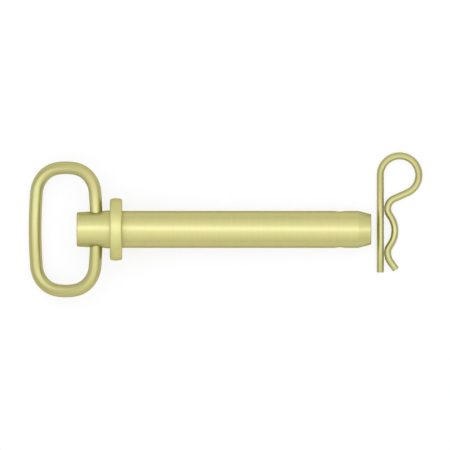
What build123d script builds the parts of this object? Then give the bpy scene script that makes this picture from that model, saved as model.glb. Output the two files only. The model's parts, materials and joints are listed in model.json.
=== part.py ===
from build123d import *
import math
import os

# Hitch pin with an oval ring handle and a hairpin clip, lying on a table as it comes to rest.
# Lengths are in millimetres and angles in degrees. The origin is on the pin's axis at the
# collar's thrust face. +X runs towards the nose, +Y across the pin and +Z up from the table.
# The pin rests on its collar and on the edge where its nose begins, the ring has dropped until
# its far limb meets the table, and the clip lies flat beside the nose.

# Shank: a round bar, measured from the collar's thrust face
shank_diameter = 15.875
grip_length = 101.6
nose_length = 5.5
nose_tip_diameter = 13.0
nose_edge_round = 0.5
head_length = 14.3
head_end_diameter = 14.7
head_edge_round = 0.6
ring_hole_inset = 8.47
clip_hole_setback = 8.0
hole_edge_round = 0.2

# Collar: pressed on a seat that stands a little proud of the grip
collar_diameter = 26.8
collar_thickness = 5.2
collar_crown = 0.4
collar_edge_round = 0.8
seat_step = 0.24

# Ring handle: an oval of bent wire, sizes taken along the middle of the wire
ring_wire = 5.4
ring_width = 29.4
ring_height = 53.1
ring_side_radius = 193.0
ring_end_radius = 25.3
ring_corner_radius = 11.4
ring_hole_clearance = 0.3

# Hairpin clip: sizes taken along the middle of the wire
clip_wire = 3.0
clip_end_round = 0.3
clip_leg_length = 41.9
clip_loop_radius = 8.3
clip_lead_drop = 24.0
clip_valley_radius = 4.75
clip_slope_angle = 32.0
clip_slope_length = 1.5
clip_bulge_radius = 10.6
clip_flare_radius = 7.5
clip_flare_angle = 36.0
clip_tail_length = 3.7
clip_leg_gap = 0.15
clip_hole_clearance = 0.3

# Where the clip lies: past the nose, with its loop to one side of the pin's axis
clip_nose_gap = 2.2
clip_loop_offset = 23.35

# Sizes and places that follow from these, in the pin's own frame
shank_radius = shank_diameter / 2
seat_radius = shank_radius + seat_step
collar_radius = collar_diameter / 2
ring_wire_radius = ring_wire / 2
clip_wire_radius = clip_wire / 2
nose_end = grip_length + nose_length
head_end = -(collar_thickness + head_length)
ring_hole_place = head_end + ring_hole_inset
ring_hole_radius = ring_wire_radius + ring_hole_clearance
clip_hole_place = grip_length - clip_hole_setback
clip_hole_radius = clip_wire_radius + clip_hole_clearance

# Crown of the collar's rim: an arc that rises from the rim's edges to the full radius
crown_half = collar_thickness / 2
crown_radius = (crown_half ** 2 + collar_crown ** 2) / (2 * collar_crown)
crown_centre = collar_radius - crown_radius


def rest_angle():
    """Angle by which the nose dips when the collar's crown and the nose's edge both touch the table."""
    run = grip_length + crown_half
    rise = shank_radius - crown_centre
    across = math.asin(crown_radius / math.hypot(run, rise))
    return math.degrees(across - math.atan2(rise, run))


lie_angle = rest_angle()
lie_cos = math.cos(math.radians(lie_angle))
lie_sin = math.sin(math.radians(lie_angle))


def on_table(along):
    """Point of the pin's axis, given its distance from the thrust face, as the pin lies."""
    return Vector(along * lie_cos, 0, -along * lie_sin)


table_height = -(grip_length * lie_sin + shank_radius * lie_cos)
ring_hinge = on_table(ring_hole_place)
ring_drop = ring_hinge.Z - (table_height + ring_wire_radius)
ring_droop = math.degrees(math.asin(ring_drop / ring_width))


def straight(length):
    """Straight run of a path, set off from a start and a heading."""
    return lambda start, heading: PolarLine(start=start, length=length, direction=heading)


def bend(radius, turn):
    """Bend of a path, to the left for a positive turn, set off from a start and a heading."""
    return lambda start, heading: JernArc(start=start, tangent=heading, radius=radius, arc_size=turn)


def bent_wire(wire_radius, start, runs):
    """Round wire that sets off along +Y and follows runs, each tangent to the one before it."""
    heading = (0, 1)
    edges = []
    for run in runs:
        edges.append(run(start, heading))
        start = edges[-1] @ 1
        heading = edges[-1] % 1
    path = Wire(edges)
    section = Plane(origin=path @ 0, z_dir=path % 0) * Circle(wire_radius)
    return sweep(section, path=path)


def cross_hole(along, radius):
    """Cutter for a hole across the bar, from side to side."""
    length = 2 * collar_diameter
    return Pos(along, 0, 0) * Rot(90, 0, 0) * Cylinder(radius, length)


def round_hole_mouths(bar, hole_radius):
    """Breaks the two edges where a cross hole opens in the bar."""
    walls = bar.faces().filter_by(lambda face: face.geom_type == GeomType.CYLINDER)
    hole = walls.filter_by(lambda face: math.isclose(face.radius, hole_radius))
    mouths = [edge for edge in hole[0].edges() if edge.geom_type != GeomType.LINE]
    return fillet(mouths, hole_edge_round)


def make_shank():
    """Solid bar, turned about its axis, with the ring's hole and the clip's hole across it."""
    outline = Polyline(
        (head_end, 0),
        (head_end, head_end_diameter / 2),
        (-collar_thickness, seat_radius),
        (0, seat_radius),
        (0, shank_radius),
        (grip_length, shank_radius),
        (nose_end, nose_tip_diameter / 2),
        (nose_end, 0),
        close=True,
    )
    bar = revolve(make_face(outline), axis=Axis.X)
    ends = bar.edges().filter_by(GeomType.CIRCLE).sort_by(Axis.X)
    bar = fillet(ends[0], head_edge_round)
    ends = bar.edges().filter_by(GeomType.CIRCLE).sort_by(Axis.X)
    bar = fillet(ends[-1], nose_edge_round)
    bar = bar - cross_hole(ring_hole_place, ring_hole_radius)
    bar = bar - cross_hole(clip_hole_place, clip_hole_radius)
    bar = round_hole_mouths(bar, ring_hole_radius)
    return round_hole_mouths(bar, clip_hole_radius)


def make_collar():
    """Collar with a crowned rim, bored to its seat on the bar."""
    rim_edge = collar_radius - collar_crown
    back = (-collar_thickness, seat_radius)
    back_rim = (-collar_thickness, rim_edge)
    front_rim = (0, rim_edge)
    front = (0, seat_radius)
    sides = [
        Line(back, back_rim),
        ThreePointArc(back_rim, (-crown_half, collar_radius), front_rim),
        Line(front_rim, front),
        Line(front, back),
    ]
    section = make_face(sides)
    corners = section.vertices().sort_by(Axis.Y)[-2:]
    return revolve(fillet(corners, collar_edge_round), axis=Axis.X)


def ring_turns():
    """Turns of half a side, a corner and half an end of the oval, whose arcs meet tangent."""
    side_centre = Vector(ring_width / 2 - ring_side_radius, 0)
    end_centre = Vector(0, ring_height / 2 - ring_end_radius)
    side_reach = ring_side_radius - ring_corner_radius
    end_reach = ring_end_radius - ring_corner_radius
    between = end_centre - side_centre
    span = between.length
    along = (side_reach ** 2 - end_reach ** 2 + span ** 2) / (2 * span)
    aside = math.sqrt(side_reach ** 2 - along ** 2)
    forward = between.normalized()
    leftward = Vector(-forward.Y, forward.X)
    corner_centre = side_centre + forward * along + leftward * aside
    side_turn = math.degrees(math.atan2(corner_centre.Y, corner_centre.X - side_centre.X))
    end_start = math.degrees(math.atan2(corner_centre.Y - end_centre.Y, corner_centre.X))
    return side_turn, end_start - side_turn, 90 - end_start


def make_ring():
    """Closed oval ring, its near limb in the head's hole and its far limb on the table."""
    side_turn, corner_turn, end_turn = ring_turns()
    half_side = bend(ring_side_radius, side_turn)
    corner = bend(ring_corner_radius, corner_turn)
    end = bend(ring_end_radius, 2 * end_turn)
    half_oval = [half_side, corner, end, corner, half_side]
    ring = bent_wire(ring_wire_radius, (0, 0), half_oval + half_oval)
    return Pos(ring_hinge) * ring.rotate(Axis.Y, -ring_droop)


def make_clip():
    """Hairpin clip: straight leg, round loop, lead back, valley, bulge, valley and flared tail."""
    drop_sin = math.sin(math.radians(clip_lead_drop))
    drop_cos = math.cos(math.radians(clip_lead_drop))
    loop_reach = clip_loop_radius * (1 + drop_sin)
    valley_reach = clip_valley_radius * (1 - drop_sin)
    lead_length = (loop_reach - valley_reach - clip_wire - clip_leg_gap) / drop_cos
    runs = [
        straight(clip_leg_length),
        bend(clip_loop_radius, clip_lead_drop - 270),
        straight(lead_length),
        bend(clip_valley_radius, 90 - clip_lead_drop + clip_slope_angle),
        straight(clip_slope_length),
        bend(clip_bulge_radius, -2 * clip_slope_angle),
        straight(clip_slope_length),
        bend(clip_valley_radius, clip_slope_angle),
        bend(clip_flare_radius, clip_flare_angle),
        straight(clip_tail_length),
    ]
    wire = bent_wire(clip_wire_radius, (0, -clip_leg_length), runs)
    ends = wire.faces().filter_by(GeomType.PLANE).edges()
    wire = fillet(ends, clip_end_round)
    leg_place = on_table(nose_end).X + clip_nose_gap + clip_wire_radius
    return Pos(leg_place, clip_loop_offset, table_height + clip_wire_radius) * wire


parts = {
    "shank": make_shank().rotate(Axis.Y, lie_angle),
    "collar": make_collar().rotate(Axis.Y, lie_angle),
    "ring_handle": make_ring(),
    "hairpin_clip": make_clip(),
}

os.makedirs("parts", exist_ok=True)
for name, part in parts.items():
    export_step(part, f"parts/{name}.step")
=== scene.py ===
import json
import math

import bpy
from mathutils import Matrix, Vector


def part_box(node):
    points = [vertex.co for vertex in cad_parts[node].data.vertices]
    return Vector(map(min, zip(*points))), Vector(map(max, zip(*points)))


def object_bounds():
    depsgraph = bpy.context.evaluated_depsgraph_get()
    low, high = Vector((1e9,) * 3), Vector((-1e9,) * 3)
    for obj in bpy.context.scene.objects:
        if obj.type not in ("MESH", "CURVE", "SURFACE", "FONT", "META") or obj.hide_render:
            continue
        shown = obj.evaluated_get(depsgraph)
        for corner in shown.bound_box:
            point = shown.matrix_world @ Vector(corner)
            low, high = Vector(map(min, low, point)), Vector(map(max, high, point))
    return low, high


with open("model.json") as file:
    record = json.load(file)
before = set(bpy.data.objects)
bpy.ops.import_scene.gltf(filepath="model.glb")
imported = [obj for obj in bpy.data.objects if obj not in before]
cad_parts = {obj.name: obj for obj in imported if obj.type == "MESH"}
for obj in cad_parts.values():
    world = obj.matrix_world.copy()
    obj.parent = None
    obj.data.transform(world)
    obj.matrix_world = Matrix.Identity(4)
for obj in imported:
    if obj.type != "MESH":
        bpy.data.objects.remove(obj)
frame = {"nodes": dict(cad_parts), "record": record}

# Looks of a yellow-zinc hitch pin that lies on a white table, seen from above, square to the pin's axis.
# Lengths are in metres, in the same frame as the solids.
cad_low, cad_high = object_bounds()
cad_middle = (cad_low + cad_high) / 2
record = frame["record"]
scene = bpy.context.scene
scene.view_settings.view_transform = "Standard"

# How the photograph maps to the frame: metres to a pixel, and the pixels of the thrust face and the axis
PHOTO_SIDE = 450
PHOTO_PIXEL = 0.00043
SHOULDER_PIXEL_X = 122.1
AXIS_PIXEL_Y = 229.4

# Camera: a lens so long that the view is as good as parallel
LENS = 900.0
SENSOR = 36.0

# How the pieces lie: the way across the pin, its axis, and the planes that the ring and the clip are bent in
RING_WIRE = 0.0054
CLIP_WIRE = 0.0030
sideways = Vector((0.0, 1.0, 0.0))
pin_axis = Vector(next(mount["axis"] for mount in record["mounts"] if mount["name"] == "shank"))
joints = record["behaviour"]["joints"]
ring_hinge = Vector(next(joint["pos_m"] for joint in joints if joint["name"] == "ring_swing"))
ring_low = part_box("ring_handle")[0]
ring_far_limb = Vector((ring_low.x + RING_WIRE / 2, ring_hinge.y, ring_low.z + RING_WIRE / 2))
ring_plane = (ring_hinge - ring_far_limb).cross(sideways).normalized()
clip_plane = Vector((0.0, 0.0, 1.0))

# Plating: gold with an olive cast that drifts towards green and rose, and its tone at a glancing angle
PLATING_BASE = (0.555, 0.520, 0.215)
PLATING_GREEN = (0.540, 0.527, 0.215)
PLATING_ROSE = (0.567, 0.517, 0.222)
PLATING_GLANCE = (0.35, 0.34, 0.28)
DRIFT_SCALE = 95.0
DRIFT_DETAIL = 3.0
DRIFT_STOPS = (0.32, 0.50, 0.70)

# Fine lines left by the lathe and the wire's die: their patches to a metre, and lines to a patch
LINE_PATCHES = 160.0
LINES_TO_PATCH = 32.0
LINE_DETAIL = 4.0
LINE_DEPTH = 0.00008
LINE_BUMP = 0.10

# How the lines' tone and roughness range, on the turned bar and collar and on the drawn wires. The collar's
# tones sit above the bar's as painted light, and the ring's and the clip's sit below it as painted shade
BAR_TONE = (1.00, 1.14)
BAR_ROUGHNESS = (0.33, 0.45)
COLLAR_TONE_PAINTED_LIGHTER = (1.12, 1.26)
COLLAR_ROUGHNESS = (0.46, 0.58)
RING_TONE_PAINTED_DARKER = (0.93, 1.05)
RING_ROUGHNESS = (0.33, 0.43)
CLIP_TONE_PAINTED_DARKER = (0.83, 0.95)
CLIP_ROUGHNESS = (0.26, 0.34)

# A noise's values lie mostly in this span
NOISE_SPAN = (0.25, 0.75)

# Table: its size, its own tone, and the share of it that the camera sees through
TABLE_SIDE = 12.0
TABLE_TONE = (0.98, 0.98, 0.98, 1.0)
TABLE_CLEAR_SHARE = 0.75

# Room: its brightness overhead and at its sides, the share of it that is left past the pin's two ends,
# and the X of the directions between which it falls to that share
ROOM_TOP = 1.34
ROOM_SIDE = 0.72
ROOM_END_SHARE = 0.65
ROOM_END_SPAN = (0.6, 0.95)

# Strip lamp: its height over the pin's axis, its turn out of line with it, its length and width,
# its power in watts and its colour
STRIP_HEIGHT = 0.04
STRIP_TURN = math.radians(2.3)
STRIP_SIZE = (0.50, 0.012)
STRIP_POWER = 0.0175
STRIP_COLOUR = (0.84, 0.94, 1.70)


def add_node(tree, kind, **values):
    """New node of a kind, with its properties and named input values set."""
    node = tree.nodes.new(kind)
    for name, value in values.items():
        if name in node.inputs:
            node.inputs[name].default_value = value
        else:
            setattr(node, name, value)
    return node


def vector_math(tree, operation, source, other=None):
    """Vector of a source, worked on with a fixed vector."""
    node = add_node(tree, "ShaderNodeVectorMath", operation=operation)
    tree.links.new(source, node.inputs[0])
    if other is not None:
        node.inputs[1].default_value = other
    return node


def number_math(tree, operation, source, other=None):
    """Number of a source, worked on with a fixed number or with another source."""
    node = add_node(tree, "ShaderNodeMath", operation=operation)
    tree.links.new(source, node.inputs[0])
    if isinstance(other, bpy.types.NodeSocket):
        tree.links.new(other, node.inputs[1])
    elif other is not None:
        node.inputs[1].default_value = other
    return node.outputs["Value"]


def map_range(tree, source, span, results, smooth=False):
    """Number of a source, carried from a span to the span of results."""
    node = add_node(tree, "ShaderNodeMapRange")
    if smooth:
        node.interpolation_type = "SMOOTHSTEP"
    node.inputs["From Min"].default_value, node.inputs["From Max"].default_value = span
    node.inputs["To Min"].default_value, node.inputs["To Max"].default_value = results
    tree.links.new(source, node.inputs["Value"])
    return node.outputs["Result"]


def make_camera():
    """Camera over the photograph's middle, square to the pin's axis and framed as the photograph is."""
    data = bpy.data.cameras.new("camera")
    data.lens = LENS
    data.sensor_width = SENSOR
    middle = PHOTO_SIDE / 2
    across = (middle - SHOULDER_PIXEL_X) * PHOTO_PIXEL
    up = (AXIS_PIXEL_Y - middle) * PHOTO_PIXEL
    distance = PHOTO_SIDE * PHOTO_PIXEL * LENS / SENSOR
    data.clip_end = 2 * distance
    camera = bpy.data.objects.new("camera", data)
    camera.location = pin_axis * across + sideways * up + pin_axis.cross(sideways) * distance
    camera.rotation_euler = (0.0, math.asin(-pin_axis.z), 0.0)
    scene.collection.objects.link(camera)
    scene.camera = camera


def lathe_lines(tree, place):
    """Way along a turned piece's surface: along its axis, and outwards on its end faces."""
    along = vector_math(tree, "DOT_PRODUCT", place.outputs["Object"], pin_axis).outputs["Value"]
    aside = vector_math(tree, "CROSS_PRODUCT", place.outputs["Object"], pin_axis).outputs["Vector"]
    out = vector_math(tree, "LENGTH", aside).outputs["Value"]
    return number_math(tree, "ADD", along, out)


def die_lines(plane, wire):
    """Function that gives the way around a wire that is bent in a plane."""
    def around(tree, place):
        facing = vector_math(tree, "DOT_PRODUCT", place.outputs["Normal"], plane).outputs["Value"]
        angle = number_math(tree, "ARCCOSINE", facing)
        return number_math(tree, "MULTIPLY", angle, wire / 2)
    return around


def plating(name, lines_along, tones, roughness):
    """Yellow zinc on steel: soft colour drift, fine lines from its making, satin gloss."""
    material = bpy.data.materials.new(name)
    material.use_nodes = True
    tree = material.node_tree
    link = tree.links.new
    shader = tree.nodes["Principled BSDF"]
    shader.inputs["Metallic"].default_value = 1.0
    shader.inputs["Specular Tint"].default_value = (*PLATING_GLANCE, 1.0)
    place = add_node(tree, "ShaderNodeTexCoord")

    drift = add_node(tree, "ShaderNodeTexNoise", Scale=DRIFT_SCALE, Detail=DRIFT_DETAIL)
    link(place.outputs["Object"], drift.inputs["Vector"])
    colours = add_node(tree, "ShaderNodeValToRGB")
    stops = colours.color_ramp.elements
    stops.new(DRIFT_STOPS[1])
    for stop, position, colour in zip(stops, DRIFT_STOPS, (PLATING_GREEN, PLATING_BASE, PLATING_ROSE)):
        stop.position = position
        stop.color = (*colour, 1.0)
    link(drift.outputs["Fac"], colours.inputs["Fac"])

    lines = add_node(tree, "ShaderNodeTexNoise", noise_dimensions="4D")
    lines.inputs["Scale"].default_value = LINE_PATCHES
    lines.inputs["Detail"].default_value = LINE_DETAIL
    link(place.outputs["Object"], lines.inputs["Vector"])
    link(number_math(tree, "MULTIPLY", lines_along(tree, place), LINES_TO_PATCH), lines.inputs["W"])
    # Tone from the lines; its level is painted light on the collar and painted shade on the ring and the
    # clip
    tone = vector_math(tree, "SCALE", colours.outputs["Color"])
    link(map_range(tree, lines.outputs["Fac"], NOISE_SPAN, tones), tone.inputs["Scale"])
    link(tone.outputs["Vector"], shader.inputs["Base Color"])
    link(map_range(tree, lines.outputs["Fac"], NOISE_SPAN, roughness), shader.inputs["Roughness"])
    bump = add_node(tree, "ShaderNodeBump", Strength=LINE_BUMP, Distance=LINE_DEPTH)
    link(lines.outputs["Fac"], bump.inputs["Height"])
    link(bump.outputs["Normal"], shader.inputs["Normal"])
    return material


def dress():
    """Gives each solid its finish."""
    around_ring = die_lines(ring_plane, RING_WIRE)
    around_clip = die_lines(clip_plane, CLIP_WIRE)
    finishes = {
        "shank": plating("plated_bar", lathe_lines, BAR_TONE, BAR_ROUGHNESS),
        # The collar's finish is painted lighter than the bar's: painted light
        "collar": plating("plated_collar", lathe_lines, COLLAR_TONE_PAINTED_LIGHTER, COLLAR_ROUGHNESS),
        # The ring's and the clip's finishes are painted darker than the bar's: painted shade
        "ring_handle": plating("plated_ring_wire", around_ring, RING_TONE_PAINTED_DARKER, RING_ROUGHNESS),
        "hairpin_clip": plating("plated_spring_wire", around_clip, CLIP_TONE_PAINTED_DARKER, CLIP_ROUGHNESS),
    }
    for name, material in finishes.items():
        for slot in frame["nodes"][name].material_slots:
            slot.material = material


def make_table():
    """White table under the pin, partly clear to the eye and wholly clear from below."""
    half = TABLE_SIDE / 2
    corners = [(-half, -half, 0.0), (half, -half, 0.0), (half, half, 0.0), (-half, half, 0.0)]
    mesh = bpy.data.meshes.new("table")
    mesh.from_pydata(corners, [], [(0, 1, 2, 3)])
    table = bpy.data.objects.new("table", mesh)
    table.location = (0.0, 0.0, cad_low.z)
    scene.collection.objects.link(table)

    material = bpy.data.materials.new("table")
    material.use_nodes = True
    tree = material.node_tree
    tree.nodes.remove(tree.nodes["Principled BSDF"])
    matte = add_node(tree, "ShaderNodeBsdfDiffuse", Color=TABLE_TONE)
    clear = add_node(tree, "ShaderNodeBsdfTransparent")
    ray = add_node(tree, "ShaderNodeLightPath").outputs
    mirrored = number_math(tree, "MAXIMUM", ray["Is Glossy Ray"], ray["Is Transmission Ray"])
    seen = number_math(tree, "MAXIMUM", ray["Is Camera Ray"], mirrored)
    from_above = number_math(tree, "MULTIPLY", seen, TABLE_CLEAR_SHARE)
    below = add_node(tree, "ShaderNodeNewGeometry").outputs["Backfacing"]
    mix = add_node(tree, "ShaderNodeMixShader")
    tree.links.new(number_math(tree, "MAXIMUM", from_above, below), mix.inputs["Fac"])
    tree.links.new(matte.outputs["BSDF"], mix.inputs[1])
    tree.links.new(clear.outputs["BSDF"], mix.inputs[2])
    tree.links.new(mix.outputs["Shader"], tree.nodes["Material Output"].inputs["Surface"])
    mesh.materials.append(material)


def make_room():
    """White room, brighter overhead, with greyer walls past the pin's ends. All is white below the table."""
    world = bpy.data.worlds.new("room")
    scene.world = world
    world.use_nodes = True
    tree = world.node_tree
    background = tree.nodes["Background"]
    background.inputs["Color"].default_value = (1.0, 1.0, 1.0, 1.0)
    place = add_node(tree, "ShaderNodeTexCoord")
    split = add_node(tree, "ShaderNodeSeparateXYZ")
    tree.links.new(place.outputs["Generated"], split.inputs["Vector"])
    height = map_range(tree, split.outputs["Z"], (0.0, 1.0), (ROOM_SIDE, ROOM_TOP))
    end = number_math(tree, "ABSOLUTE", split.outputs["X"])
    wall = map_range(tree, end, ROOM_END_SPAN, (1.0, ROOM_END_SHARE), smooth=True)
    shade = number_math(tree, "MULTIPLY", height, wall)
    under = number_math(tree, "LESS_THAN", split.outputs["Z"], 0.0)
    tree.links.new(number_math(tree, "MAXIMUM", shade, under), background.inputs["Strength"])


def make_lamp():
    """Strip lamp over the pin, which leaves its line a little towards the ring. It isn't seen itself."""
    data = bpy.data.lights.new("strip", "AREA")
    data.shape = "RECTANGLE"
    data.size, data.size_y = STRIP_SIZE
    data.energy = STRIP_POWER
    data.color = STRIP_COLOUR
    lamp = bpy.data.objects.new("strip", data)
    reach = cad_high.x - cad_middle.x
    lamp.location = (cad_middle.x, reach * math.tan(STRIP_TURN), STRIP_HEIGHT)
    lamp.rotation_euler = (0.0, 0.0, -STRIP_TURN)
    lamp.visible_camera = False
    scene.collection.objects.link(lamp)


make_camera()
make_room()
make_table()
make_lamp()
dress()
